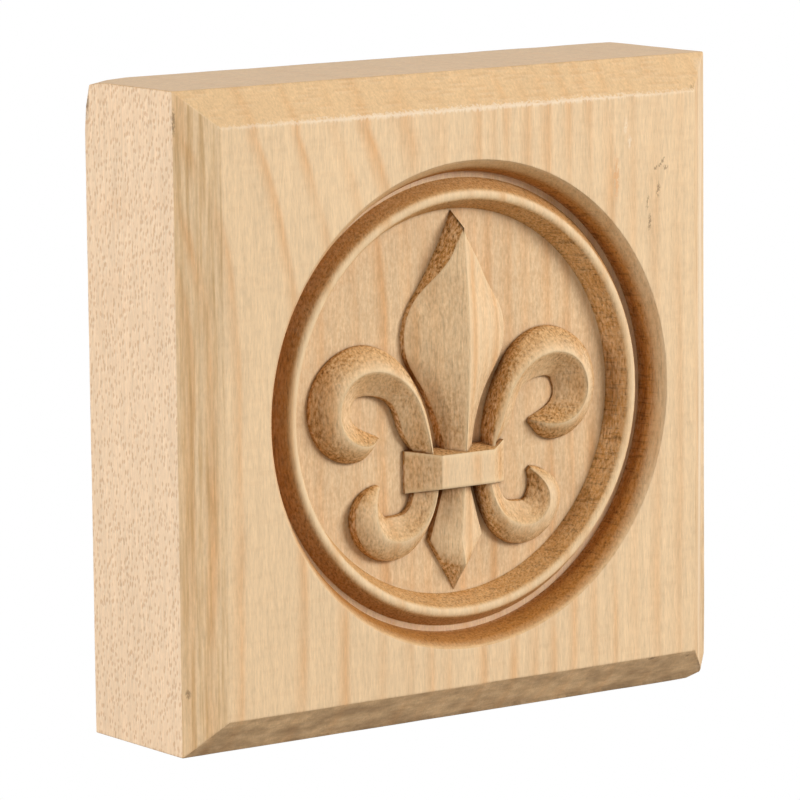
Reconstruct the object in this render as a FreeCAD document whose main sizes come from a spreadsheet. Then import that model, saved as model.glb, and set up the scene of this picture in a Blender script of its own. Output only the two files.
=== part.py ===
import FreeCAD, Part
import math
import os
import Sketcher

# Corner rosette block in solid maple: a square block with a bevelled front,
# a turned ring sunk in it, and a fleur-de-lis left standing in the ring's flat field.
# Frame, in mm: origin at the middle of the back, X to the right, Z up, the front faces -Y.

# The turned wall and the bead's round top are drawn as short flats, which keeps the turned faces light.
WALL_FLATS = 3
BEAD_FLATS = 6
# Sections cut across each part of the spear, and across each arc of a scroll.
SPEAR_STEPS = 5
SCROLL_STEPS = 2
# A scroll's slopes: how far up the curve is drawn, as a share of the slope's rise, midway along the slope.
OUTER_BULGE = 0.74
INNER_HOLLOW = 0.38
MIDWAY = 0.5
# The least half width, ridge and edge height at a sharp tip, in mm.
TIP_HALF_WIDTH = 0.05
TIP_RIDGE = 0.04
TIP_EDGE = 0.02

doc = FreeCAD.newDocument("corner_rosette_block")
sheet = doc.addObject("Spreadsheet::Sheet", "Sizes")

SIZES = {
    # The block
    "block_width": 88.9,
    "block_height": 88.9,
    "block_thickness": 25.4,
    "bevel_width": 4.9,
    "bevel_depth": 4.1,
    # Where the carving's axis sits on the face
    "carving_right": 1.05,
    "carving_down": 0.9,
    # The ring, from the field outwards; depths are below the front face
    "field_radius": 26.5,
    "field_depth": 5.0,
    "bead_width": 4.3,
    "bead_middle": 2.15,
    "bead_top_radius": 0.9,
    "bead_top_depth": 1.55,
    "bead_shoulder": 0.82,
    "groove_floor": 0.8,
    "groove_depth": 4.05,
    "wall_flare": 1.9,
    # How far the raised forms reach into the wood, and how much their walls lean for each mm of height
    "root_depth": 0.3,
    "facet_draft": 0.35,
    "scroll_draft": 0.15,
    # The spear, from its tip down to the collar; heights are above the field
    "spear_tip_gap": 0.2,
    "nose_length": 2.2,
    "flank_radius": 60.0,
    "belly_radius": 8.3,
    "belly_half_width": 8.7,
    "belly_level": 9.3,
    "neck_half_width": 2.6,
    "ridge_at_tip": 3.2,
    "ridge_at_belly": 4.3,
    "ridge_at_neck": 3.25,
    "edge_at_tip": 2.9,
    "edge_at_belly": 0.7,
    "edge_at_neck": 1.6,
    # The collar that ties the spear and the scrolls
    "collar_level": -8.95,
    "collar_length": 16.8,
    "collar_width": 5.8,
    "collar_front_length": 8.9,
    "collar_front_width": 4.65,
    "collar_height": 3.75,
    "collar_end_height": 0.5,
    # The small faceted point below the collar
    "stem_half_width": 1.8,
    "stem_ridge": 3.2,
    "stem_edge": 1.0,
    "corner_half_width": 4.6,
    "corner_level": -18.7,
    "corner_ridge": 2.1,
    "corner_edge": 0.7,
    "peak_level": -22.3,
    "peak_ridge": 2.9,
    "peak_edge": 0.7,
    "point_tip_gap": 0.4,
    # The upper scrolls: the crest runs through tangent arcs, from the collar to the curled tip
    "upper_start": 5.3,
    "upper_lean": 2.0,
    "upper_stem_radius": 24.0,
    "upper_stem_turn": 25.0,
    "upper_shoulder_radius": 8.6,
    "upper_shoulder_turn": 63.0,
    "upper_crown_radius": 5.3,
    "upper_crown_turn": 90.0,
    "upper_cheek_radius": 4.8,
    "upper_cheek_turn": 88.0,
    "upper_tail_radius": 9.0,
    "upper_tail_turn": 22.0,
    # The lower scrolls, in the same way
    "lower_start": 4.3,
    "lower_lean": 0.0,
    "lower_stem_radius": 13.0,
    "lower_stem_turn": 25.0,
    "lower_shoulder_radius": 6.0,
    "lower_shoulder_turn": 65.0,
    "lower_crown_radius": 3.6,
    "lower_crown_turn": 90.0,
    "lower_tail_radius": 4.8,
    "lower_tail_turn": 52.0,
}

# What a scroll measures at its stations: foot to crest on the outer and the inner side of the curl,
# crest height, and the height of the steep wall at each foot.
UPPER_STATIONS = ("neck", "waist", "crown", "cheek", "chin", "tip")
UPPER = {
    "outer": (0.9, 1.5, 3.3, 3.3, 2.5, 0.4),
    "inner": (2.4, 2.8, 3.7, 3.8, 2.4, 0.3),
    "crest": (2.65, 3.3, 3.4, 3.4, 3.0, 0.8),
    "outer_wall": (2.2, 2.0, 0.7, 0.6, 0.7, 0.3),
    "inner_wall": (0.6, 1.2, 0.6, 0.25, 0.25, 0.2),
}
LOWER_STATIONS = ("neck", "waist", "crown", "cheek", "tip")
LOWER = {
    "outer": (1.1, 1.4, 3.0, 3.0, 0.4),
    "inner": (2.6, 2.5, 3.2, 2.4, 0.4),
    "crest": (2.6, 2.9, 3.0, 2.9, 0.8),
    "outer_wall": (1.6, 1.4, 1.0, 1.5, 0.3),
    "inner_wall": (0.8, 0.9, 0.8, 0.6, 0.3),
}
for scroll, stations, widths in (("upper", UPPER_STATIONS, UPPER), ("lower", LOWER_STATIONS, LOWER)):
    for kind, values in widths.items():
        for station, value in zip(stations, values):
            SIZES["%s_%s_%s" % (scroll, kind, station)] = value

for row, (name, value) in enumerate(SIZES.items(), start=1):
    sheet.set("A%d" % row, name)
    sheet.set("B%d" % row, str(value))
    sheet.setAlias("B%d" % row, name)
doc.recompute()


def size(name):
    """A driving size from the sheet."""
    return float(sheet.get(name))


def bind(target, path, formula):
    """Ties a property to sizes of the sheet; each word of the formula that is a size is looked up there."""
    words = []
    for word in formula.split():
        words.append("Sizes." + word if word in SIZES else word)
    target.setExpression(path, " ".join(words))


def origin_plane(body, role):
    return [feature for feature in body.Origin.OriginFeatures if feature.Role == role][0]


def constrain(sketch, names, *constraint):
    """Adds a dimension to a sketch: the sum of the named sizes, tied to the sheet."""
    value = sum(size(name) for name in names)
    index = sketch.addConstraint(Sketcher.Constraint(*constraint, value))
    bind(sketch, "Constraints[%d]" % index, " + ".join(names))


# The bevelled block with its turned ring

def block_outline(body):
    """The square blank, drawn on the back face about its middle."""
    sketch = body.newObject("Sketcher::SketchObject", "BlankOutline")
    sketch.AttachmentSupport = (origin_plane(body, "XZ_Plane"), [""])
    sketch.MapMode = "FlatFace"
    half_width = size("block_width") / 2
    half_height = size("block_height") / 2
    corners = [(-half_width, -half_height), (half_width, -half_height),
               (half_width, half_height), (-half_width, half_height)]
    for start, end in zip(corners, corners[1:] + corners[:1]):
        sketch.addGeometry(Part.LineSegment(FreeCAD.Vector(*start, 0), FreeCAD.Vector(*end, 0)))
    for side in range(4):
        sketch.addConstraint(Sketcher.Constraint("Coincident", side, 2, (side + 1) % 4, 1))
        sketch.addConstraint(Sketcher.Constraint("Vertical" if side % 2 else "Horizontal", side))
    sketch.addConstraint(Sketcher.Constraint("Symmetric", 0, 1, 2, 1, -1, 1))
    constrain(sketch, ["block_width"], "DistanceX", 0, 1, 0, 2)
    constrain(sketch, ["block_height"], "DistanceY", 1, 1, 1, 2)
    return sketch


def flats(centre, radius, begin, sweep, count):
    """Corners of short flats along an arc, first to last; angles in radians."""
    corners = []
    for step in range(count + 1):
        angle = begin + sweep * step / count
        corners.append((centre[0] + radius * math.cos(angle), centre[1] + radius * math.sin(angle)))
    return corners


def follow_circle(sketch, circle, first, count):
    """Makes a run of flats equal, with every corner on a construction circle."""
    sketch.addConstraint(Sketcher.Constraint("PointOnObject", first, 1, circle))
    for line in range(first, first + count):
        sketch.addConstraint(Sketcher.Constraint("PointOnObject", line, 2, circle))
        if line > first:
            sketch.addConstraint(Sketcher.Constraint("Equal", first, line))


def ring_section(body):
    """Half the section that is turned away about the carving's axis: wall, groove floor, bead and field."""
    sketch = body.newObject("Sketcher::SketchObject", "RingSection")
    sketch.AttachmentSupport = (origin_plane(body, "XY_Plane"), [""])
    sketch.MapMode = "FlatFace"
    bind(sketch, "AttachmentOffset.Base.x", "carving_right")
    bind(sketch, "AttachmentOffset.Base.z", "0 - carving_down")
    face = -size("block_thickness")
    groove = face + size("groove_depth")
    field = face + size("field_depth")
    bead_radius = size("bead_top_radius")
    bead_centre = (size("field_radius") + size("bead_middle"), face + size("bead_top_depth") + bead_radius)
    bead_half = math.asin(size("bead_shoulder") / bead_radius)
    groove_inside = size("field_radius") + size("bead_width")
    groove_outside = groove_inside + size("groove_floor")
    wall_radius = (size("wall_flare") ** 2 + size("groove_depth") ** 2) / (2 * size("wall_flare"))
    wall_centre = (groove_outside + wall_radius, groove)
    wall_sweep = math.asin(size("groove_depth") / wall_radius)
    wall = flats(wall_centre, wall_radius, math.pi + wall_sweep, -wall_sweep, WALL_FLATS)
    bead = flats(bead_centre, bead_radius, bead_half - math.pi / 2, -2 * bead_half, BEAD_FLATS)
    corners = [(0, face)] + wall + [(groove_inside, groove)] + bead
    corners += [(size("field_radius"), field), (0, field)]
    lines = len(corners)
    for begin, finish in zip(corners, corners[1:] + corners[:1]):
        sketch.addGeometry(Part.LineSegment(FreeCAD.Vector(*begin, 0), FreeCAD.Vector(*finish, 0)))
    for line in range(lines):
        sketch.addConstraint(Sketcher.Constraint("Coincident", line, 2, (line + 1) % lines, 1))
    upward = FreeCAD.Vector(0, 0, 1)
    wall_circle = sketch.addGeometry(Part.Circle(FreeCAD.Vector(*wall_centre, 0), upward, wall_radius), True)
    bead_circle = sketch.addGeometry(Part.Circle(FreeCAD.Vector(*bead_centre, 0), upward, bead_radius), True)
    wall_first = 1
    floor = wall_first + WALL_FLATS
    bead_first = floor + 2
    bead_last = bead_first + BEAD_FLATS - 1
    field_line = bead_last + 2
    axis_line = field_line + 1
    follow_circle(sketch, wall_circle, wall_first, WALL_FLATS)
    follow_circle(sketch, bead_circle, bead_first, BEAD_FLATS)
    for level in (0, floor, field_line):
        sketch.addConstraint(Sketcher.Constraint("Horizontal", level))
    sketch.addConstraint(Sketcher.Constraint("PointOnObject", axis_line, 1, -2))
    sketch.addConstraint(Sketcher.Constraint("PointOnObject", axis_line, 2, -2))
    sketch.addConstraint(Sketcher.Constraint("Horizontal", wall_circle, 3, floor, 1))
    constrain(sketch, ["block_thickness"], "DistanceY", 0, 1, -1, 1)
    constrain(sketch, ["field_radius"], "DistanceX", field_line, 2, field_line, 1)
    constrain(sketch, ["field_depth"], "DistanceY", axis_line, 2, axis_line, 1)
    constrain(sketch, ["bead_width"], "DistanceX", field_line, 1, floor, 2)
    constrain(sketch, ["bead_middle"], "DistanceX", field_line, 1, bead_circle, 3)
    constrain(sketch, ["bead_top_radius"], "Radius", bead_circle)
    constrain(sketch, ["bead_top_depth", "bead_top_radius"], "DistanceY", 0, 2, bead_circle, 3)
    constrain(sketch, ["bead_shoulder"], "DistanceX", bead_circle, 3, bead_first, 1)
    constrain(sketch, ["bead_shoulder"], "DistanceX", bead_last, 2, bead_circle, 3)
    constrain(sketch, ["groove_floor"], "DistanceX", floor, 2, floor, 1)
    constrain(sketch, ["groove_depth"], "DistanceY", 0, 2, floor, 1)
    constrain(sketch, ["wall_flare"], "DistanceX", floor, 1, 0, 2)
    return sketch


def block_body():
    """Pad, bevel and turned ring."""
    body = doc.addObject("PartDesign::Body", "Block")
    outline = block_outline(body)
    blank = body.newObject("PartDesign::Pad", "Blank")
    blank.Profile = outline
    bind(blank, "Length", "block_thickness")
    doc.recompute()
    front = -size("block_thickness")
    front_edges = []
    for number, edge in enumerate(blank.Shape.Edges, start=1):
        if all(abs(vertex.Y - front) < 1e-6 for vertex in edge.Vertexes):
            front_edges.append("Edge%d" % number)
    bevel = body.newObject("PartDesign::Chamfer", "Bevel")
    bevel.Base = (blank, front_edges)
    bevel.ChamferType = "Two distances"
    bind(bevel, "Size", "bevel_depth")
    bind(bevel, "Size2", "bevel_width")
    doc.recompute()
    section = ring_section(body)
    doc.recompute()
    ring = body.newObject("PartDesign::Groove", "Ring")
    ring.Profile = section
    ring.ReferenceAxis = (section, ["V_Axis"])
    ring.Angle = 360
    doc.recompute()
    return body, blank, bevel, ring


# Helpers for the raised forms, in the carving's own axes: x to the right, z up, height above the field

def field_point(x, z, height):
    depth = -size("block_thickness") + size("field_depth") - height
    return FreeCAD.Vector(x, depth, z)


def seat(shape_object):
    """Moves a raised form from the block's axis to the carving's axis."""
    bind(shape_object, "Placement.Base.x", "carving_right")
    bind(shape_object, "Placement.Base.z", "0 - carving_down")


def smooth_between(stations, values, at):
    """A value between stations, on a smooth curve through them that never overshoots."""
    spans = len(stations) - 1
    span = max(i for i in range(spans) if at >= stations[i] - 1e-9)
    lengths = [stations[i + 1] - stations[i] for i in range(spans)]
    slopes = [(values[i + 1] - values[i]) / lengths[i] for i in range(spans)]

    def tangent(i):
        if i == 0:
            return slopes[0]
        if i == spans:
            return slopes[-1]
        if slopes[i - 1] * slopes[i] <= 0:
            return 0.0
        return 2 * slopes[i - 1] * slopes[i] / (slopes[i - 1] + slopes[i])

    u = (at - stations[span]) / lengths[span]
    rise = tangent(span) * lengths[span]
    fall = tangent(span + 1) * lengths[span]
    start = values[span]
    end = values[span + 1]
    return (start * (1 + 2 * u) * (1 - u) ** 2 + rise * u * (1 - u) ** 2
            + end * u * u * (3 - 2 * u) + fall * u * u * (u - 1))


def gable(z, half_width, ridge, edge):
    """Section across the spear or the point: two drafted walls and two facets that meet in a ridge."""
    draft = size("facet_draft")
    foot = half_width + draft * size("root_depth")
    shoulder = max(half_width - draft * edge, TIP_EDGE)
    points = [
        field_point(-foot, z, -size("root_depth")),
        field_point(-shoulder, z, edge),
        field_point(0, z, ridge),
        field_point(shoulder, z, edge),
        field_point(foot, z, -size("root_depth")),
    ]
    return Part.makePolygon(points + points[:1])


# The spear

def spear_half_width():
    """Half the spear's width at a level: a hollow flank, a round belly and a hollow neck, all tangent."""
    belly = size("belly_radius")
    belly_x = size("belly_half_width") - belly
    belly_z = size("belly_level")
    tip_z = size("field_radius") - size("spear_tip_gap")
    neck_z = size("collar_level")
    drop = belly_z - neck_z
    gap = size("neck_half_width") - belly_x
    neck = (drop ** 2 + gap ** 2 - belly ** 2) / (2 * (belly - gap))
    neck_x = size("neck_half_width") + neck
    neck_join = belly_z - drop * belly / (belly + neck)
    # The flank's centre lies at its radius from the tip, and at both radii together from the belly's centre.
    flank = size("flank_radius")
    reach = math.hypot(belly_x, tip_z - belly_z)
    along = (flank ** 2 - (flank + belly) ** 2 + reach ** 2) / (2 * reach)
    aside = math.sqrt(flank ** 2 - along ** 2)
    toward_x = belly_x / reach
    toward_z = (belly_z - tip_z) / reach
    flank_x = along * toward_x - aside * toward_z
    flank_z = tip_z + along * toward_z + aside * toward_x
    flank_join = belly_z + (flank_z - belly_z) * belly / (flank + belly)

    def half_width(z):
        if z > flank_join:
            return flank_x - math.sqrt(flank ** 2 - (z - flank_z) ** 2)
        if z > neck_join:
            return belly_x + math.sqrt(belly ** 2 - (z - belly_z) ** 2)
        return neck_x - math.sqrt(neck ** 2 - (z - neck_z) ** 2)

    return half_width, tip_z, flank_join, neck_join


def spear():
    """The spear: a loft of gables from the collar to the nose, and the nose drawn to a point."""
    half_width, tip_z, flank_join, neck_join = spear_half_width()
    neck_z = size("collar_level")
    nose_z = tip_z - size("nose_length")
    ridge_levels = (neck_z, size("belly_level"), nose_z)
    ridges = (size("ridge_at_neck"), size("ridge_at_belly"), size("ridge_at_tip"))
    edge_levels = (neck_z, neck_join, flank_join, (flank_join + tip_z) / 2, nose_z)
    edges = (size("edge_at_neck"), size("edge_at_belly"), size("edge_at_belly"),
             size("edge_at_tip"), size("edge_at_tip"))
    levels = []
    for start, end in ((neck_z, neck_join), (neck_join, flank_join), (flank_join, nose_z)):
        levels += [start + (end - start) * step / SPEAR_STEPS for step in range(SPEAR_STEPS)]
    levels.append(nose_z)
    sections = []
    for z in levels:
        ridge = smooth_between(ridge_levels, ridges, z)
        edge = min(smooth_between(edge_levels, edges, z), half_width(z) / size("facet_draft"))
        sections.append(gable(z, half_width(z), ridge, edge))
    leaf = Part.makeLoft(sections, True, False)
    tip = gable(tip_z, TIP_HALF_WIDTH, TIP_RIDGE, TIP_EDGE)
    nose = Part.makeLoft([sections[-1], tip], True, True)
    shape = doc.addObject("Part::Feature", "Spear")
    shape.Shape = leaf.fuse(nose)
    seat(shape)
    return shape


# The faceted point below the collar

def point():
    """The stem that widens below the collar to two corners, and the point that runs down to the bead."""
    tip_z = -(size("field_radius") - size("point_tip_gap"))
    corner_z = size("corner_level")
    peak_z = size("peak_level")
    peak_half_width = size("corner_half_width") * (peak_z - tip_z) / (corner_z - tip_z)
    sections = [
        gable(size("collar_level"), size("stem_half_width"), size("stem_ridge"), size("stem_edge")),
        gable(corner_z, size("corner_half_width"), size("corner_ridge"), size("corner_edge")),
        gable(peak_z, peak_half_width, size("peak_ridge"), size("peak_edge")),
        gable(tip_z, TIP_HALF_WIDTH, TIP_RIDGE, TIP_EDGE),
    ]
    shape = doc.addObject("Part::Feature", "Point")
    shape.Shape = Part.makeLoft(sections, True, True)
    seat(shape)
    return shape


# The scrolls

def crest_line(start_x, heading, turn_side, arcs):
    """Points and headings along tangent arcs on the face; turn_side is 1 to the left, -1 to the right."""
    x = start_x
    z = size("collar_level")
    run = 0.0
    line = [(x, z, heading, run)]
    joints = [run]
    for radius, turn in arcs:
        centre_x = x - turn_side * radius * math.sin(heading)
        centre_z = z + turn_side * radius * math.cos(heading)
        begin = heading
        for step in range(1, SCROLL_STEPS + 1):
            heading = begin + turn_side * turn * step / SCROLL_STEPS
            x = centre_x + turn_side * radius * math.sin(heading)
            z = centre_z - turn_side * radius * math.cos(heading)
            line.append((x, z, heading, run + radius * turn * step / SCROLL_STEPS))
        run += radius * turn
        joints.append(run)
    return line, joints


def slope(start, pull, end):
    """A curve from start to end, drawn towards a third point."""
    curve = Part.BezierCurve()
    curve.setPoles([start, pull, end])
    return curve.toShape()


def scroll_section(x, z, heading, turn_side, outer, inner, crest, outer_wall, inner_wall):
    """Section across a scroll: drafted walls, a round outer slope, the crest, and a hollow inner slope."""
    away = (turn_side * math.sin(heading), -turn_side * math.cos(heading))
    draft = size("scroll_draft")
    root = size("root_depth")

    def at(offset, height):
        return field_point(x + away[0] * offset, z + away[1] * offset, height)

    outer_shoulder = at(outer - draft * outer_wall, outer_wall)
    inner_shoulder = at(draft * inner_wall - inner, inner_wall)
    outer_bulge = at(MIDWAY * outer, outer_wall + OUTER_BULGE * (crest - outer_wall))
    inner_hollow = at(-MIDWAY * inner, inner_wall + INNER_HOLLOW * (crest - inner_wall))
    outer_root = at(outer + draft * root, -root)
    inner_root = at(-inner - draft * root, -root)
    return Part.Wire([
        Part.makeLine(outer_root, outer_shoulder),
        slope(outer_shoulder, outer_bulge, at(0, crest)),
        slope(at(0, crest), inner_hollow, inner_shoulder),
        Part.makeLine(inner_shoulder, inner_root),
        Part.makeLine(inner_root, outer_root),
    ])


def scroll(prefix, label, stations, heading, turn_side, arc_names):
    """A scroll of the right-hand side, lofted along its crest; a station lies at each end of each arc."""
    arcs = []
    for name in arc_names:
        radius = size("%s_%s_radius" % (prefix, name))
        turn = math.radians(size("%s_%s_turn" % (prefix, name)))
        arcs.append((radius, turn))
    lean = math.radians(size(prefix + "_lean"))
    line, runs = crest_line(size(prefix + "_start"), heading + turn_side * lean, turn_side, arcs)
    sections = []
    for x, z, direction, run in line:
        values = []
        for kind in ("outer", "inner", "crest", "outer_wall", "inner_wall"):
            sizes = [size("%s_%s_%s" % (prefix, kind, station)) for station in stations]
            values.append(smooth_between(runs, sizes, run))
        sections.append(scroll_section(x, z, direction, turn_side, *values))
    shape = doc.addObject("Part::Feature", label)
    shape.Shape = Part.makeLoft(sections, True, False)
    seat(shape)
    return shape


def mirrored(source, label):
    """The same form on the left of the carving's axis."""
    copy = doc.addObject("Part::Mirroring", label)
    copy.Source = source
    copy.Normal = FreeCAD.Vector(1, 0, 0)
    bind(copy, "Base.x", "carving_right")
    return copy


# The collar

def collar():
    """A bar with a flat front and sloped ends, on a low straight-walled base."""
    base = doc.addObject("Part::Box", "CollarBase")
    bind(base, "Length", "collar_length")
    bind(base, "Height", "collar_width")
    bind(base, "Width", "collar_end_height + root_depth")
    bind(base, "Placement.Base.x", "carving_right - collar_length / 2")
    bind(base, "Placement.Base.y", "field_depth - block_thickness - collar_end_height")
    bind(base, "Placement.Base.z", "collar_level - collar_width / 2 - carving_down")
    front = doc.addObject("Part::Wedge", "CollarFront")
    for path, formula in (
            ("Xmin", "0 - collar_front_length / 2"), ("Xmax", "collar_front_length / 2"),
            ("Zmin", "0 - collar_front_width / 2"), ("Zmax", "collar_front_width / 2"),
            ("X2min", "0 - collar_length / 2"), ("X2max", "collar_length / 2"),
            ("Z2min", "0 - collar_width / 2"), ("Z2max", "collar_width / 2"),
            ("Ymin", "field_depth - block_thickness - collar_height"),
            ("Ymax", "field_depth - block_thickness - collar_end_height"),
            ("Placement.Base.x", "carving_right"), ("Placement.Base.z", "collar_level - carving_down")):
        bind(front, path, formula)
    return [base, front]


block, blank, bevel, ring = block_body()
upper_right = scroll("upper", "UpperScrollRight", UPPER_STATIONS, math.pi / 2, -1,
                     ("stem", "shoulder", "crown", "cheek", "tail"))
lower_right = scroll("lower", "LowerScrollRight", LOWER_STATIONS, -math.pi / 2, 1,
                     ("stem", "shoulder", "crown", "tail"))
raised = [spear(), point(), upper_right, mirrored(upper_right, "UpperScrollLeft"),
          lower_right, mirrored(lower_right, "LowerScrollLeft")] + collar()

rosette = doc.addObject("Part::MultiFuse", "rosette_block")
rosette.Label = "rosette_block"
rosette.Shapes = [block] + raised
rosette.Refine = True
doc.recompute()

# Each cut must take wood away, each raised form must stand out of the field, and all must be one solid
for item in doc.Objects:
    if "Invalid" in item.State or "Error" in item.State:
        raise ValueError("%s did not build: %s" % (item.Name, item.State))
for item in [block, rosette] + raised:
    if item.Shape.isNull() or not item.Shape.isValid():
        raise ValueError("%s has no valid shape" % item.Name)
if not blank.Shape.Volume > bevel.Shape.Volume > ring.Shape.Volume > blank.Shape.Volume / 2:
    raise ValueError("the bevel or the ring cut nothing, or too much")
if rosette.Shape.Volume <= block.Shape.Volume or len(rosette.Shape.Solids) != 1:
    raise ValueError("the carving does not stand out of the block as one solid")

os.makedirs("parts", exist_ok=True)
rosette.Shape.exportStep(os.path.join("parts", rosette.Label + ".step"))
box = rosette.Shape.BoundBox
print("rosette_block %.2f x %.2f x %.2f mm, %d faces, %.0f mm3"
      % (box.XLength, box.YLength, box.ZLength, len(rosette.Shape.Faces), rosette.Shape.Volume))
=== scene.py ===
# %% [markdown]
# # A corner rosette block in hard maple
# A corner block closes the corner of a door or window casing, so that the casings can be cut square. This
# one is a single piece of hard maple. Its front is bevelled on a shaper, a ring is turned into it, and a
# fleur-de-lis is left standing in the middle. The wood is sanded and has no finish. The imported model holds
# the whole form. The steps below ease its edges by hand, as sandpaper does, and then give it the wood:
# growth rings, rays, fibres, end grain, and the darker tone in the cuts.

# %% Load the frame
import math

import bmesh
import bpy
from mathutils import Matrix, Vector, noise


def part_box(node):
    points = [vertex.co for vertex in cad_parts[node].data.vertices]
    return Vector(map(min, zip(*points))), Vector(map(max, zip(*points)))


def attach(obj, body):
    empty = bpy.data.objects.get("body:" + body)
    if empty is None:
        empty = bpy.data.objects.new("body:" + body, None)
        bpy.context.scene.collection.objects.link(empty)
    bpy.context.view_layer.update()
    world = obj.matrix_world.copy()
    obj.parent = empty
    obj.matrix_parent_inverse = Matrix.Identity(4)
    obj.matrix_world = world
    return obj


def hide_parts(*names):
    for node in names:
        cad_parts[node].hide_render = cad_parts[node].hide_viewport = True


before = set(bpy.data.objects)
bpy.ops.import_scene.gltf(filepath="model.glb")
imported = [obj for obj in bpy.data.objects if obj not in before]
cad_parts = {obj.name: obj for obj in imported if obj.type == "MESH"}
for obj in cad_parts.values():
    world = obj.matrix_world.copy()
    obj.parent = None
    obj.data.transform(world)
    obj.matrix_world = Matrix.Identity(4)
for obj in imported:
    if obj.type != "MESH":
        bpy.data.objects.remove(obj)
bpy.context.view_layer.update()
low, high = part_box("rosette_block")
MM = 0.001
half_width = high.x
half_height = high.z
thickness = high.y - low.y
print("block: %.1f x %.1f x %.1f mm" % (2 * half_width / MM, thickness / MM, 2 * half_height / MM))

# %% [markdown]
# ## The shape: sanded edges
# A shaper leaves edges that cut the hand, so the maker breaks them with sandpaper. The ease is small, about
# a third of a millimetre, but it is what catches a line of light along each edge. A Bevel modifier could do
# it, but its ease would be the same everywhere, so the edges are picked out and worked on the mesh itself.
# The carving keeps its crisp edges, and its slight rounding is left to the material.

# %% Find the edges to ease
CARVING_AXIS = (1.05 * MM, -0.9 * MM)
RIM_RADIUS = 33.5 * MM
RIM_MARGIN = 1 * MM
BEVEL_REACH = 5 * MM
SHARP = math.radians(25)
FLAT = math.radians(0.3)


def on_block(edge):
    """True for an edge of the block itself, outside the turned ring."""
    for vertex in edge.verts:
        if math.hypot(vertex.co.x - CARVING_AXIS[0], vertex.co.z - CARVING_AXIS[1]) < RIM_RADIUS + RIM_MARGIN:
            return False
    return len(edge.link_faces) == 2 and edge.calc_face_angle() > SHARP


def within_flat(edge):
    """True for an edge that only divides one of the block's sides, its back or a bevel into triangles."""
    if any(face.normal.y < -0.99 for face in edge.link_faces):
        return False
    outer = all(max(abs(vertex.co.x), abs(vertex.co.z)) > half_width - BEVEL_REACH for vertex in edge.verts)
    return outer and edge.calc_face_angle() < FLAT


print("edges are eased beyond %.1f mm from the ring's axis" % ((RIM_RADIUS + RIM_MARGIN) / MM))

# %% [markdown]
# ### Uneven sanding and knocked corners
# Sandpaper in a hand never takes off the same amount twice, so the eased line wanders by less than a tenth
# of a millimetre. Two corners were also knocked round at some time: the upper left one at the back, and
# the lower right one where the bevel ends. Smooth noise moves the eased points inward, and near these
# corners they move further.

# %% Wear
WANDER = 0.09 * MM
WANDER_SCALE = 140
BACK_CORNER = Vector((-half_width, 0, half_height))
BEVEL_CORNER = Vector((half_width, -21.4 * MM, -half_height))
WORN = ((BACK_CORNER, 7 * MM, 0.9 * MM), (BEVEL_CORNER, 4.5 * MM, 1.0 * MM))


def wear(point):
    """Where a point of an eased edge ends up."""
    inward = Vector((-point.x / half_width, (-thickness / 2 - point.y) / thickness, -point.z / half_height))
    wander = noise.noise(point * WANDER_SCALE) * WANDER
    worn = max(0.0, wander)
    for corner, reach, depth in WORN:
        near = max(0.0, 1 - (point - corner).length / reach)
        worn += depth * near ** 2
    return point + inward.normalized() * worn


print("the back corner loses %.2f mm" % ((wear(BACK_CORNER) - BACK_CORNER).length / MM))

# %% [markdown]
# ### Easing the block
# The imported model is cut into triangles, and a bevel would stop at each of them. So the flat triangles are
# joined first, then the block's own edges are divided so that the ease can wander, and then they are
# bevelled. The wood is one piece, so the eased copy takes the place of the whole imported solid.

# %% Ease the block
WELD = 0.0001 * MM
EASE = 0.32 * MM
EDGE_STEPS = 26
EASE_STEPS = 3
SHADE_ANGLE = math.radians(28)


def eased_block(source, name):
    """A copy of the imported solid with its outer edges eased."""
    mesh = source.data.copy()
    mesh.name = name
    mesh.attributes.remove(mesh.attributes["custom_normal"])
    piece = bpy.data.objects.new(name, mesh)
    bpy.context.scene.collection.objects.link(piece)
    shape = bmesh.new()
    shape.from_mesh(mesh)
    bmesh.ops.remove_doubles(shape, verts=shape.verts[:], dist=WELD)
    bmesh.ops.dissolve_edges(shape, edges=[edge for edge in shape.edges if within_flat(edge)])
    block_edges = [edge for edge in shape.edges if on_block(edge)]
    bmesh.ops.subdivide_edges(shape, edges=block_edges, cuts=EDGE_STEPS)
    block_edges = [edge for edge in shape.edges if on_block(edge)]
    eased = bmesh.ops.bevel(shape, geom=block_edges, offset=EASE, offset_type="OFFSET", segments=EASE_STEPS,
                            profile=0.5, affect="EDGES", clamp_overlap=True)
    for vertex in eased["verts"]:
        vertex.co = wear(vertex.co)
    for face in shape.faces:
        face.smooth = True
    shape.to_mesh(mesh)
    shape.free()
    mesh.set_sharp_from_angle(angle=SHADE_ANGLE)
    weighted = piece.modifiers.new("even_flats", "WEIGHTED_NORMAL")
    weighted.keep_sharp = True
    return piece


block = eased_block(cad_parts["rosette_block"], "maple_block")
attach(block, "root")
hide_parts("rosette_block")
print("maple_block: %d faces after easing" % len(block.data.polygons))

# %% [markdown]
# ## The wood: hard maple, sanded
# Maple has no large pores. What the eye reads as maple is a pale cream ground, thin tan lines where each
# year's growth ends, and rays: ribbons of cells that run from the bark to the heart. The block was sawn
# with its growth rings nearly upright behind the front, so the front shows the rings as upright lines, the
# left and right edges show the rays end on, as short dashes about a millimetre long, and the top and
# bottom show end grain, which takes in more light and looks darker. A picture laid on each face would
# break at the edges, so all of it is one solid texture in millimetres: the grain runs through the block,
# and every cut shows its own side of it.

# %% Helpers for materials
ALL = slice(None)
SMOOTH = {"interpolation_type": "SMOOTHSTEP"}
TIMES = {"operation": "MULTIPLY"}
TIMES_PLUS = {"operation": "MULTIPLY_ADD"}
LESS = {"operation": "SUBTRACT"}
LARGER = {"operation": "MAXIMUM"}
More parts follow.
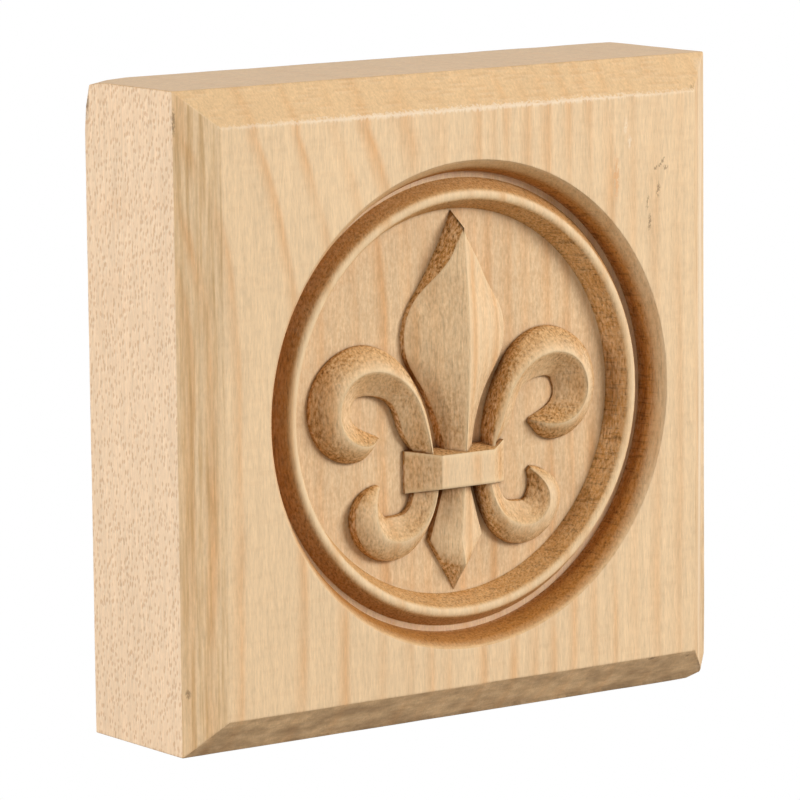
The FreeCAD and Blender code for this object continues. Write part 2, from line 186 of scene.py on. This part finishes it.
# A Mix node of colours takes its share at socket 0 and its two colours at sockets 6 and 7.
BLEND = {"out": 2, "data_type": "RGBA"}


def linear(code):
    """An sRGB hex colour as the linear colour that a shader reads."""
    channels = [int(code[i:i + 2], 16) / 255 for i in (1, 3, 5)]
    return [c / 12.92 if c <= 0.04045 else ((c + 0.055) / 1.055) ** 2.4 for c in channels] + [1.0]


def add(tree, kind, inputs=(), out=0, **settings):
    """Adds a node, sets it, fills or links its inputs in order or by key, and gives back its output."""
    node = tree.nodes.new("ShaderNode" + kind)
    for name, value in settings.items():
        setattr(node, name, value)
    for key, value in inputs.items() if isinstance(inputs, dict) else enumerate(inputs):
        if isinstance(value, bpy.types.NodeSocket):
            tree.links.new(value, node.inputs[key])
        else:
            node.inputs[key].default_value = value
    return node.outputs[out]


def new_material(name):
    """An empty material, its node tree, and the socket that takes its surface."""
    material = bpy.data.materials.new(name)
    material.use_nodes = True
    tree = material.node_tree
    tree.nodes.clear()
    return material, tree, tree.nodes.new("ShaderNodeOutputMaterial").inputs["Surface"]


maple, wood, wood_surface = new_material("hard_maple_sanded")
print("material:", maple.name)

# %% [markdown]
# ### Where each point lies
# Before anything is coloured, the material has to know what each point belongs to. The place comes in
# millimetres from the middle of the back, and the normal says which way the face looks. The masks run from
# 0 to 1. A MapRange node takes a value, the two limits that it lies between, and what it gives at each of
# them.

# %% Place and facing
FRONT_FACE = low.y / MM
place = add(wood, "VectorMath", {0: add(wood, "TexCoord", out="Object"), "Scale": 1 / MM}, operation="SCALE")
x, y, z = add(wood, "SeparateXYZ", (place,), out=ALL)
depth = add(wood, "Math", (y, FRONT_FACE), **LESS)
looks = add(wood, "TexCoord", out="Normal")
aside, _, rising = add(wood, "SeparateXYZ", (looks,), out=ALL)
facing = add(wood, "VectorMath", (looks,), operation="ABSOLUTE")
sideways, forward, upright = add(wood, "SeparateXYZ", (facing,), out=ALL)
side = add(wood, "MapRange", (sideways, 0.8, 0.97, 0, 1), **SMOOTH)
end = add(wood, "MapRange", (upright, 0.3, 0.8, 0, 0.85), **SMOOTH)
print("the front face lies at %.1f mm" % FRONT_FACE)

# %% [markdown]
# ### What the cutter touched
# The carving lies inside the rim, below the front and above the sawn back. A small fast cutter made its
# steep faces: it bruises the fibres and slightly burns them. Their brown is painted stronger the deeper
# they lie and on walls that look up, as painted shade. Forms that stand above the field are also painted
# browner on the slopes that look left, away from the key light, as painted shade, and show tool marks there.

# %% Carving masks
RIM = RIM_RADIUS / MM
FIELD_DEPTH = 5.0
axis = (-CARVING_AXIS[0] / MM, 0, -CARVING_AXIS[1] / MM)
flat_place = add(wood, "Mapping", {"Vector": place, "Location": axis, "Scale": (1, 0, 1)})
radius = add(wood, "VectorMath", (flat_place,), out="Value", operation="LENGTH")
within = add(wood, "MapRange", (radius, RIM + 0.1, RIM - 0.3, 0, 1))
outside = add(wood, "Math", (1.0, within), **LESS)
below = add(wood, "MapRange", (depth, 0.1, 0.4, 0, 1))
carved = add(wood, "Math", (within, below), **TIMES)
before_back = add(wood, "MapRange", (depth, FIELD_DEPTH + 0.9, FIELD_DEPTH + 1.4, 1, 0))
carved = add(wood, "Math", (carved, before_back), **TIMES)
steep = add(wood, "MapRange", (forward, 0.97, 0.5, 0, 1), **SMOOTH)
# painted shade: faces that look up and faces that lie deeper get more of the cut brown
looks_up_shade = add(wood, "MapRange", (rising, 0.2, 0.7, 0, 0.9))
shade_depth = add(wood, "Math", (depth, looks_up_shade), operation="ADD")
depth_shade = add(wood, "MapRange", (shade_depth, 0.8, 2.0, 0.15, 1))
cut = add(wood, "Math", (steep, carved), **TIMES)
cut = add(wood, "Math", (cut, depth_shade), **TIMES)
# painted shade and tool marks on the slopes of raised forms that look left, away from the key light
left_slope_marks_and_shade = add(wood, "MapRange", (depth, FIELD_DEPTH - 0.6, FIELD_DEPTH - 1.4, 0, 0.6))
left_slope_marks_and_shade = add(wood, "Math", (left_slope_marks_and_shade, carved), **TIMES)
looks_left = add(wood, "MapRange", (aside, -0.05, -0.25, 0, 1))
left_slope_marks_and_shade = add(wood, "Math", (left_slope_marks_and_shade, looks_left), **TIMES)
worked = add(wood, "Math", (left_slope_marks_and_shade, cut), **LARGER)
print("masks: %d nodes so far" % len(wood.nodes))

# %% [markdown]
# ### Growth rings
# Each pair below is where a ring's dark edge crosses the front, in millimetres from the middle, and how
# dark it is. The rings stand close together on the right and wider on the left, where they also lean over
# near the top, as they do around the swelling of a branch. A Wave texture would space them evenly, so a
# curve holds them instead: it rises slowly through the year and falls quickly at its end. A slow drift
# keeps the lines from being ruler straight, and a patchy strength makes them fade in and out, as they do
# on planed maple.

# %% Growth rings
RINGS = (
    (-43.0, 0.5), (-41.2, 0.9), (-37.4, 0.5), (-27.8, 0.6), (-20.8, 0.6), (-14.5, 0.3), (-10.1, 0.75),
    (-6.1, 0.45), (-3.2, 0.3), (2.7, 0.6), (5.6, 0.3), (7.8, 0.8), (11.2, 0.45), (14.4, 0.5),
    (18.0, 0.6), (21.5, 0.5), (25.2, 0.7), (29.0, 0.3), (33.0, 0.4), (37.0, 0.3), (41.0, 0.4), (43.5, 0.4),
)
RING_SPAN = 46
RING_BEFORE = 1.8
RING_AFTER = 0.8
BEND_START = 8
BEND_LENGTH = 30
BEND_LEFT = -18
BEND_SHIFT = 6.3
DRIFT = 3.0
DRIFT_SIZE = (16.667, 20, 40)
RING_PATCH = (3.333, 3.333, 22.222)


def streaks(tree, at, size, detail=2, roughness=0.62):
    """Noise whose grains have the given size in millimetres across, through and along the block."""
    drawn = add(tree, "Mapping", {"Vector": at, "Scale": [1 / length for length in size]})
    return add(tree, "TexNoise", {"Vector": drawn, "Scale": 1.0, "Detail": detail, "Roughness": roughness})


above = add(wood, "MapRange", (z, BEND_START, BEND_START + BEND_LENGTH, 0, 1))
bend = add(wood, "Math", (above, 2), operation="POWER")
left = add(wood, "MapRange", (x, 0, BEND_LEFT, 0, BEND_SHIFT), **SMOOTH)
bent = add(wood, "Math", (bend, left, x), **TIMES_PLUS)
drift = streaks(wood, place, DRIFT_SIZE, 4, 0.5)
across = add(wood, "Math", (drift, DRIFT, bent), **TIMES_PLUS)
share = add(wood, "MapRange", (across, DRIFT / 2 - RING_SPAN, DRIFT / 2 + RING_SPAN, 0, 1))
patchy = streaks(wood, place, RING_PATCH, 3, 0.5)
strength = add(wood, "MapRange", (patchy, 0.34, 0.6, 0.2, 1))
edges = wood.nodes.new("ShaderNodeFloatCurve")
curve = edges.mapping.curves[0]
curve.points[0].location = (0, 0)
curve.points[1].location = (1, 0)
for middle, dark in RINGS:
    for offset, level in ((-RING_BEFORE, 0), (0, dark), (RING_AFTER, 0)):
        point = curve.points.new((middle + offset + RING_SPAN) / (2 * RING_SPAN), level)
        point.handle_type = "VECTOR"
edges.mapping.update()
wood.links.new(share, edges.inputs["Value"])
ring = add(wood, "Math", (edges.outputs[0], strength), **TIMES)
print("growth rings: %d over %d mm" % (len(RINGS), 2 * RING_SPAN))

# %% [markdown]
# ### Rays and fibres
# A ray is a ribbon a few millimetres long across the rings and about a millimetre tall. Real ones are a
# tenth of a millimetre thick, too fine to show, so they are drawn half a millimetre thick. Cells of a
# stretched Voronoi pattern stand for the ribbons: cut across they show as short upright dashes, and cut
# along as faint flecks. Fibres are noise drawn out along the grain, also coarser than real so that they
# show. Each size below is in millimetres across, through and along the block.

# %% Rays and fibres
RAY = (4.5, 0.55, 1.0)
RAY_GLINT = (0.0, 0.28, 0.3)
FINE_FIBRE = (0.26, 0.26, 1.6)
LONG_FIBRE = (0.8, 0.8, 13)
TORN_FIBRE = (0.36, 0.36, 0.7)
GOUGE_LINE = (0.3, 0.3, 2.4)
CHATTER_TICK = (3.0, 3.0, 0.32)
GRAIN_THREAD = (0.6, 0.6, 16)
TONE_CLOUD = (14, 14, 30)
BLOTCH_SIZE = (5, 5, 2)


def rays(tree, at):
    """Where a ray lies, from 0 to 1."""
    cells = add(tree, "Mapping", {"Vector": at, "Scale": [1 / length for length in RAY]})
    distance = add(tree, "TexVoronoi", {"Vector": cells, "Scale": 1.0, "Randomness": 1.0})
    return add(tree, "MapRange", (distance, 0.44, 0.24, 0, 1), **SMOOTH)


ray = rays(wood, place)
beside = add(wood, "VectorMath", (place, RAY_GLINT), operation="ADD")
ray_beside = rays(wood, beside)
fine = streaks(wood, place, FINE_FIBRE, 3)
speck = streaks(wood, place, TORN_FIBRE)
blotch = streaks(wood, place, BLOTCH_SIZE, 3)
print("rays of %.1f mm, fibres %.2f mm wide" % (RAY[2], FINE_FIBRE[0]))

# %% [markdown]
# ### The ground colour
# The sides are palest, because they lie along the growth layers and few dark lines cross them. The end
# grain is darker. Rings show on the front and fade on the sides. Rays show on the sides, each with a
# painted highlight beside it, a pale edge that stands for the light catching the fibre next to the ribbon.
# Colours are mixed one over the other, each by its own mask, so that any of them can be changed alone.

# %% Ground colour
FRONT = "#ebcda4"
SIDE = "#eed2b2"
END_GRAIN = "#e2bc89"
RING_TAN = "#d6964f"
RAY_TAN = "#b67f46"
# pale of a scratch and of wear, and of painted highlights and a painted reflection
PALE_WEAR_AND_HIGHLIGHT = "#f6e6cf"
GLINT_SHARE = 0.3
colour = add(wood, "Mix", {0: side, 6: linear(FRONT), 7: linear(SIDE)}, **BLEND)
colour = add(wood, "Mix", {0: end, 6: colour, 7: linear(END_GRAIN)}, **BLEND)
turned = add(wood, "Math", (side, end), **LARGER)
ring_share = add(wood, "MapRange", (turned, 0, 1, 0.8, 0.15))
ring_amount = add(wood, "Math", (ring, ring_share), **TIMES)
colour = add(wood, "Mix", {0: ring_amount, 6: colour, 7: linear(RING_TAN)}, **BLEND)
open_rays = add(wood, "Math", (end, 0.3, side), **TIMES_PLUS)
# painted highlight: a pale edge beside each ray
glint = add(wood, "Math", (ray_beside, open_rays), **TIMES)
glint = add(wood, "Math", (glint, GLINT_SHARE), **TIMES)
colour = add(wood, "Mix", {0: glint, 6: colour, 7: linear(PALE_WEAR_AND_HIGHLIGHT)}, **BLEND)
ray_share = add(wood, "MapRange", (open_rays, 0, 1, 0.05, 0.37))
ray_amount = add(wood, "Math", (ray, ray_share), **TIMES)
colour = add(wood, "Mix", {0: ray_amount, 6: colour, 7: linear(RAY_TAN)}, **BLEND)
print("ground colour: front %s, sides %s, end grain %s" % (FRONT, SIDE, END_GRAIN))

# %% [markdown]
# ### The brown of the cuts
# Where the cutter worked, the wood is a warmer brown, broken up by torn fibres that stay pale. A colour mixed
# in by the masks follows the carving without a painted texture. On deep faces, on walls that look up and on
# slopes that look left, part of this brown is painted shade. The turned ring is cut in one long pass and is
# calmer, so its flecks are weaker.

# %% Cut faces
CUT_BROWN = "#cb975a"
FIELD_BROWN = 0.22
CUT_SHARE = 0.74
LEFT_SLOPE_SHADE_SHARE = 0.25
BEAD_FOOT = 26.0
field = add(wood, "MapRange", (depth, FIELD_DEPTH - 1.6, FIELD_DEPTH - 0.4, 0, FIELD_BROWN))
field = add(wood, "Math", (field, carved), **TIMES)
cut_amount = add(wood, "Math", (cut, CUT_SHARE, field), **TIMES_PLUS)
# painted shade: the slopes that look left get more of the cut brown
cut_amount = add(wood, "Math", (left_slope_marks_and_shade, LEFT_SLOPE_SHADE_SHARE, cut_amount), **TIMES_PLUS)
calm = add(wood, "MapRange", (radius, BEAD_FOOT - 0.5, BEAD_FOOT + 0.5, 1, 0.45))
speck_centred = add(wood, "Math", (speck, 0.5), **LESS)
fleck = add(wood, "Math", (speck_centred, calm), **TIMES)
torn = add(wood, "MapRange", (fleck, -0.14, 0.14, 1.35, 0.35))
patch = add(wood, "MapRange", (blotch, 0.35, 0.65, 1.15, 0.85))
cut_amount = add(wood, "Math", (cut_amount, torn), **TIMES)
cut_amount = add(wood, "Math", (cut_amount, patch), use_clamp=True, **TIMES)
colour = add(wood, "Mix", {0: cut_amount, 6: colour, 7: linear(CUT_BROWN)}, **BLEND)
print("cut faces: %d nodes so far" % len(wood.nodes))

# %% [markdown]
# ### The scorched ring, with painted shade
# The turning tool rubbed as it cut, and scorched the two walls that face each other, the outer one more. The
# same brown is also painted shade on these walls, with less of it deep down. In the groove between them a
# fuzz of torn fibre is left, which catches the light as a ragged pink line. Both are bands by their distance
# from the ring's axis.

# %% Scorched ring and groove
SCORCH_AND_SHADE_BROWN = "#ac6a22"
GROOVE_PINK = "#dcb796"
SCORCH_FROM = 29.0
GROOVE_FROM = 31.0
GROOVE_TO = 31.5
GROOVE_EDGE = 0.2
# burn on the ring's walls, and painted shade where the walls face each other
scorch_and_shade = add(wood, "MapRange", (radius, SCORCH_FROM, SCORCH_FROM + 0.8, 0, 1))
outer_wall_share = add(wood, "MapRange", (radius, GROOVE_FROM - 0.5, GROOVE_TO, 0.38, 0.72))
scorch_and_shade = add(wood, "Math", (scorch_and_shade, outer_wall_share), **TIMES)
deep_down_share = add(wood, "MapRange", (depth, 3.0, 4.2, 1, 0.55))
scorch_and_shade = add(wood, "Math", (scorch_and_shade, deep_down_share), **TIMES)
scorch_and_shade = add(wood, "Math", (scorch_and_shade, cut), **TIMES)
colour = add(wood, "Mix", {0: scorch_and_shade, 6: colour, 7: linear(SCORCH_AND_SHADE_BROWN)}, **BLEND)
groove = add(wood, "MapRange", (radius, GROOVE_FROM - GROOVE_EDGE, GROOVE_FROM, 0, 1))
groove_end = add(wood, "MapRange", (radius, GROOVE_TO, GROOVE_TO + GROOVE_EDGE, 1, 0))
groove = add(wood, "Math", (groove, groove_end), **TIMES)
groove = add(wood, "Math", (groove, carved), **TIMES)
fuzz = add(wood, "MapRange", (speck, 0.42, 0.6, 0.1, 0.9))
groove = add(wood, "Math", (groove, fuzz), **TIMES)
colour = add(wood, "Mix", {0: groove, 6: colour, 7: linear(GROOVE_PINK)}, **BLEND)
print("scorched from %.1f mm, groove at %.1f to %.1f mm" % (SCORCH_FROM, GROOVE_FROM, GROOVE_TO))

# %% [markdown]
# ### Threads on the bevels
# The left and right bevels cut the growth layers at a slant. Each layer is drawn out there into long brown
# threads, so noise stretched along the grain darkens the oblique faces outside the ring.

# %% Threads on the bevels
THREAD = "#b58a4e"
oblique = add(wood, "MapRange", (sideways, 0.3, 0.6, 0, 1))
not_side = add(wood, "Math", (1.0, side), **LESS)
oblique = add(wood, "Math", (oblique, not_side), **TIMES)
oblique = add(wood, "Math", (oblique, outside), **TIMES)
thread = add(wood, "MapRange", (streaks(wood, place, GRAIN_THREAD, 3), 0.44, 0.7, 0, 0.6))
thread = add(wood, "Math", (thread, oblique), **TIMES)
colour = add(wood, "Mix", {0: thread, 6: colour, 7: linear(THREAD)}, **BLEND)
print("threads: %d mm long" % GRAIN_THREAD[2])

# %% [markdown]
# ### Light and dark in the fibre
# One number, the tone, lightens or darkens whatever colour is there. Fibres and slow clouds change it by a
# few per cent all over. Where the cutter worked, torn fibres, small pits and short gouged lines change it
# more. On the right the cutter chattered, and left fine ticks across the grain.

# %% Tone
tone = add(wood, "MapRange", (fine, 0.28, 0.72, 0.88, 1.09))
tone_fibre = add(wood, "MapRange", (streaks(wood, place, LONG_FIBRE), 0.3, 0.7, 0.93, 1.04))
tone = add(wood, "Math", (tone, tone_fibre), **TIMES)
tone_cloud = add(wood, "MapRange", (streaks(wood, place, TONE_CLOUD), 0.3, 0.7, 0.97, 1.02))
tone = add(wood, "Math", (tone, tone_cloud), **TIMES)
rough_cut = add(wood, "MapRange", (cut, 0, 1, 0.2, 0.8))
tone_fleck = add(wood, "Math", (fleck, rough_cut, 1.0), **TIMES_PLUS)
tone = add(wood, "Math", (tone, tone_fleck), **TIMES)
pit = add(wood, "MapRange", (speck, 0.44, 0.32, 0, 0.3))
pit_share = add(wood, "MapRange", (radius, BEAD_FOOT - 1, BEAD_FOOT, 1, 0.2))
pit = add(wood, "Math", (pit, pit_share), **TIMES)
pit = add(wood, "Math", (pit, cut), **TIMES)
tone = add(wood, "Math", (tone, pit), **LESS)
gouge = add(wood, "MapRange", (streaks(wood, place, GOUGE_LINE, 3), 0.5, 0.66, 0, 0.33))
gouge = add(wood, "Math", (gouge, worked), **TIMES)
tone = add(wood, "Math", (tone, gouge), **LESS)
tick = add(wood, "MapRange", (streaks(wood, place, CHATTER_TICK), 0.55, 0.66, 0, 0.3))
right = add(wood, "MapRange", (x, 5, 20, 0, 1))
tick = add(wood, "Math", (tick, right), **TIMES)
tick = add(wood, "Math", (tick, cut), **TIMES)
tone = add(wood, "Math", (tone, tick), **LESS)
colour = add(wood, "VectorMath", {0: colour, "Scale": tone}, operation="SCALE")
print("tone: %d nodes so far" % len(wood.nodes))

# %% [markdown]
# ### Painted shade in the corners, painted highlights on the crests
# The corners at the foot of each form are painted darker brown as painted shade, and the crests are painted
# pale as painted highlights. An Ambient Occlusion node finds both: looking outward, it sees little open sky
# in a corner, and looking inward, it sees little wood behind a thin crest. The ring's groove is open and
# smooth and gets less of the painted shade.

# %% Corners and crests
CORNER_SHADE_BROWN = "#6e4119"
CREST_HIGHLIGHT = "#f2d7ab"
CORNER_REACH = 1.6 * MM
CREST_REACH = 1.1 * MM
open_sky = add(wood, "AmbientOcclusion", {"Distance": CORNER_REACH}, out="AO", samples=6, only_local=True)
# painted shade: corners that see little open sky are darkened brown
corner = add(wood, "MapRange", (open_sky, 0.72, 0.3, 0, 0.95))
corner_shade_share = add(wood, "MapRange", (radius, SCORCH_FROM + 0.5, SCORCH_FROM + 1.5, 1, 0.2))
corner = add(wood, "Math", (corner, corner_shade_share), **TIMES)
colour = add(wood, "Mix", {0: corner, 6: colour, 7: linear(CORNER_SHADE_BROWN)}, **BLEND)
# painted highlight: thin crests that look forward are painted pale
thin = add(wood, "AmbientOcclusion", {"Distance": CREST_REACH}, out="AO", samples=6, inside=True,
           only_local=True)
crest_highlight = add(wood, "MapRange", (thin, 0.9, 0.62, 0, 0.75))
crest_highlight = add(wood, "Math", (crest_highlight, carved), **TIMES)
ahead = add(wood, "MapRange", (forward, 0.4, 0.75, 0, 1))
crest_highlight = add(wood, "Math", (crest_highlight, ahead), **TIMES)
colour = add(wood, "Mix", {0: crest_highlight, 6: colour, 7: linear(CREST_HIGHLIGHT)}, **BLEND)
print("corners within %.1f mm, crests within %.1f mm" % (CORNER_REACH / MM, CREST_REACH / MM))

# %% [markdown]
# ### Marks of use, and painted highlights on edges
# Small things that happened to this block: dark specks and three thin dark lines at the upper right of the
# front, a pale scratch beside them, an orange mineral streak, and knocks on the lower edge, the left bevel,
# the front's upper right corner and the back corner. The front's top edge is painted pale, a painted
# highlight that is partly rubbed wear, and the right bevel is painted pale as a painted reflection of the
# white room. Each mark is an ellipsoid in the wood, given by its middle and its reach in millimetres, with
# edges that noise makes ragged.

# %% Marks of use
DARK_MARKS = (
    ((32.6, -25.4, 29.2), (0.4, 0.5, 0.35)), ((33.5, -25.4, 29.7), (0.35, 0.5, 0.3)),
    ((34.0, -25.4, 30.3), (0.35, 0.5, 0.4)), ((34.4, -25.4, 29.3), (0.6, 0.5, 0.4)),
    ((33.1, -25.4, 26.2), (0.3, 0.5, 1.4)), ((31.2, -25.4, 24.6), (0.3, 0.5, 1.3)),
    ((31.6, -25.4, 21.9), (0.3, 0.5, 1.6)), ((39.4, -25.4, 40.1), (0.5, 0.8, 0.5)),
    ((-44.3, -21.4, 40.4), (0.4, 0.4, 2.6)), ((-43.8, -21.9, -35.8), (0.5, 0.6, 0.9)),
    ((-44.45, -0.3, 41.0), (0.6, 0.7, 2.4)), ((31.8, -25.2, -39.8), (0.8, 0.5, 0.3)),
    ((38.4, -25.0, -40.4), (0.9, 0.5, 0.3)), ((21.6, -24.0, -42.0), (0.9, 0.6, 0.5)),
)
PALE_MARKS = (
    ((27.5, -25.4, 35.4), (0.28, 0.5, 1.6)), ((28.1, -25.4, 33.2), (0.25, 0.5, 1.2)),
)
ORANGE_MARKS = (((25.8, -25.4, 28.4), (0.6, 0.6, 4.2)),)
# painted highlight along the front's top edge, partly rubbed wear
ARRIS_WEAR_AND_HIGHLIGHT = ((0.0, -25.4, 39.6), (60.0, 0.55, 0.55))
# painted reflection on the right bevel
BEVEL_REFLECTION = ((43.0, -23.4, 0.0), (2.4, 2.8, 70.0))
SOOT = "#664c30"
MINERAL = "#dd9857"
RAGGED = 1.6


def marks(tree, at, places):
    """1 inside any of the given marks, falling to 0 at their edges."""
    inside = None
    for middle, reach in places:
        scale = [1 / length for length in reach]
        offset = [-value / length for value, length in zip(middle, reach)]
        local = add(tree, "Mapping", {"Vector": at, "Location": offset, "Scale": scale})
        distance = add(tree, "VectorMath", (local,), out="Value", operation="LENGTH")
        here = add(tree, "MapRange", (distance, 1.0, 0.3, 0, 1), **SMOOTH)
        inside = here if inside is None else add(tree, "Math", (inside, here), **LARGER)
    return inside


jitter = add(wood, "Math", (speck_centred, RAGGED), **TIMES)
ragged = add(wood, "VectorMath", (place, jitter), operation="ADD")
for places, code, amount in ((DARK_MARKS, SOOT, 0.6), (PALE_MARKS, PALE_WEAR_AND_HIGHLIGHT, 0.6),
                             (ORANGE_MARKS, MINERAL, 0.5), ((ARRIS_WEAR_AND_HIGHLIGHT, BEVEL_REFLECTION), PALE_WEAR_AND_HIGHLIGHT, 0.55)):
    here = add(wood, "Math", (marks(wood, ragged, places), amount), **TIMES)
    colour = add(wood, "Mix", {0: here, 6: colour, 7: linear(code)}, **BLEND)
print("marks: %d dark, %d pale" % (len(DARK_MARKS), len(PALE_MARKS)))

# %% [markdown]
# ### Darker brown underneath
# The faces that look down, the lower bevel and the bottom, are darker brown in patches.

# %% Grime
DOWNWARD_BROWN = "#85623c"
# faces that look down are darkened brown in patches
under = add(wood, "MapRange", (rising, -0.3, -0.7, 0, 1), **SMOOTH)
under = add(wood, "Math", (under, outside), **TIMES)
down_patches = add(wood, "MapRange", (blotch, 0.36, 0.66, 0.0, 0.62))
down_patches = add(wood, "Math", (down_patches, under), **TIMES)
colour = add(wood, "Mix", {0: down_patches, 6: colour, 7: linear(DOWNWARD_BROWN)}, **BLEND)
print("grime:", DOWNWARD_BROWN)

# %% [markdown]
# ### The surface
# Bare sanded maple has a refractive index near 1.5 and a roughness near 0.6, and it scatters most light.
# The raised nap of sanded fibre gives a faint sheen that pales the top where it is seen at a low angle.
# Cut faces are bruised and duller. The rays sink a little and torn fibres stand up, by a few hundredths of
# a millimetre, which a Bump node can show. A Bevel node rounds the carving's edges in the shading, less in
# the ring, which is crisper.

# %% Surface
SOFT_EDGE = 0.7 * MM
CRISP_EDGE = 0.3 * MM
NAP_HEIGHT = 0.05 * MM
ease = add(wood, "MapRange", (radius, SCORCH_FROM, GROOVE_FROM, SOFT_EDGE, CRISP_EDGE))
eased = add(wood, "Bevel", (ease,), samples=4)
relief = add(wood, "Math", (ray_amount, -3.0, fine), **TIMES_PLUS)
torn_cut = add(wood, "Math", (speck, cut), **TIMES)
relief = add(wood, "Math", (torn_cut, 1.5, relief), **TIMES_PLUS)
grain = add(wood, "Bump", {"Strength": 0.5, "Distance": NAP_HEIGHT, "Height": relief, "Normal": eased})
rough = add(wood, "MapRange", (fine, 0.2, 0.8, 0.56, 0.7))
shine = add(wood, "MapRange", (worked, 0, 1, 0.35, 0.05))
nap = add(wood, "MapRange", (carved, 0, 1, 0.12, 0))
shader = add(wood, "BsdfPrincipled", {
    "Base Color": colour, "Roughness": rough, "Normal": grain, "IOR": 1.5, "Specular IOR Level": shine,
    "Sheen Weight": nap, "Sheen Roughness": 0.45})
wood.links.new(shader, wood_surface)
block.data.materials.clear()
block.data.materials.append(maple)
print("material:", block.data.materials[0].name, "with", len(wood.nodes), "nodes")

# %% [markdown]
# ## The studio: a white ground
# The block stands on a white ground that shows no shadow. A lit white floor would show one, so the floor
# looks pure white to the camera and is grey paper to the light that bounces from it.

# %% Floor
PAPER = "#a9a7a3"
WHITE = "#ffffff"


def floor():
    """White paper under the block, as part of the stage."""
    bpy.ops.mesh.primitive_plane_add(size=6, location=(0, 0, -half_height))
    plane = bpy.context.object
    plane.name = "white_floor"
    material, tree, surface = new_material("white_paper")
    paper = add(tree, "BsdfDiffuse", {"Color": linear(PAPER)})
    seen = add(tree, "Emission", {"Color": linear(WHITE), "Strength": 1.0})
    camera_ray = add(tree, "LightPath", out="Is Camera Ray")
    tree.links.new(add(tree, "MixShader", (camera_ray, paper, seen)), surface)
    plane.data.materials.append(material)
    return plane


print("floor:", floor().name)

# %% [markdown]
# ### Light from the right
# The key softbox stands at the right, in front and a little above, and models the carving. A second one,
# slightly behind the left edge, keeps that edge pale without reaching into the carving. A weak third one at
# the left front lights the slopes that look left and the upper half of the ring's right wall. Area lamps
# give the soft edges of shadow that a cloth-fronted lamp gives.

# %% Softboxes
LIGHT_DISTANCE = 1.4
SOFTBOXES = (
    # name, the way it stands from the block, its width in metres, its power in watts
    ("key_softbox", Vector((0.60, -0.66, 0.26)), 0.55, 15.4),
    ("side_softbox", Vector((-1.0, 0.14, 0.12)), 0.45, 8.0),
    ("fill_softbox", Vector((-1.0, -0.24, 0.12)), 0.3, 5.3),
)


def softbox(name, direction, size, power):
    """A square lamp that looks at the block."""
    lamp = bpy.data.lights.new(name, "AREA")
    lamp.shape = "SQUARE"
    lamp.size = size
    lamp.energy = power
    holder = bpy.data.objects.new(name, lamp)
    holder.location = direction.normalized() * LIGHT_DISTANCE
    holder.rotation_euler = (-direction).to_track_quat("-Z", "Y").to_euler()
    bpy.context.scene.collection.objects.link(holder)


for name, direction, size, power in SOFTBOXES:
    softbox(name, direction, size, power)
print("lights:", [item.name for item in bpy.data.lights])

# %% [markdown]
# ### The white room
# The room fills the rest with a slightly warm white. Seen by the camera or mirrored it is plain white, and
# only its fill is dimmer, so that the shadows in the carving stay.

# %% The white room
ROOM = 0.42
WARM_WHITE = "#fff3e4"


def white_room():
    """A room that fills the shadows with warm light, and looks white to the camera and in reflections."""
    world = bpy.data.worlds.new("white_room")
    bpy.context.scene.world = world
    world.use_nodes = True
    tree = world.node_tree
    tree.nodes.clear()
    fill = add(tree, "Background", {"Color": linear(WARM_WHITE), "Strength": ROOM})
    seen = add(tree, "Background", {"Color": linear(WHITE), "Strength": 1.0})
    camera_ray = add(tree, "LightPath", out="Is Camera Ray")
    glossy_ray = add(tree, "LightPath", out="Is Glossy Ray")
    direct = add(tree, "Math", (camera_ray, glossy_ray), **LARGER)
    both = add(tree, "MixShader", (direct, fill, seen))
    tree.links.new(both, tree.nodes.new("ShaderNodeOutputWorld").inputs["Surface"])
    return world


print("room:", white_room().name)

# %% [markdown]
# ### The camera
# A long lens from the left and a little above, about three quarters of a metre away, so that the block's
# edges stay nearly parallel and its left edge and top are seen.

# %% Camera
CAMERA_PLACE = Vector((-435.85, -618.58, 111.35)) * MM
CAMERA_TURN = (81.400, 0.5885, -35.6855)
CAMERA_LENS = 246.85
SENSOR = 36.0


def camera():
    """The camera, with its lens and sensor in millimetres and its turn in degrees."""
    lens = bpy.data.cameras.new("camera")
    lens.sensor_width = SENSOR
    lens.lens = CAMERA_LENS
    holder = bpy.data.objects.new("camera", lens)
    holder.location = CAMERA_PLACE
    holder.rotation_euler = [math.radians(angle) for angle in CAMERA_TURN]
    bpy.context.scene.collection.objects.link(holder)
    bpy.context.scene.camera = holder


camera()
bpy.context.scene.view_settings.view_transform = "Standard"
print("camera: %.0f mm from the block" % (CAMERA_PLACE.length / MM))
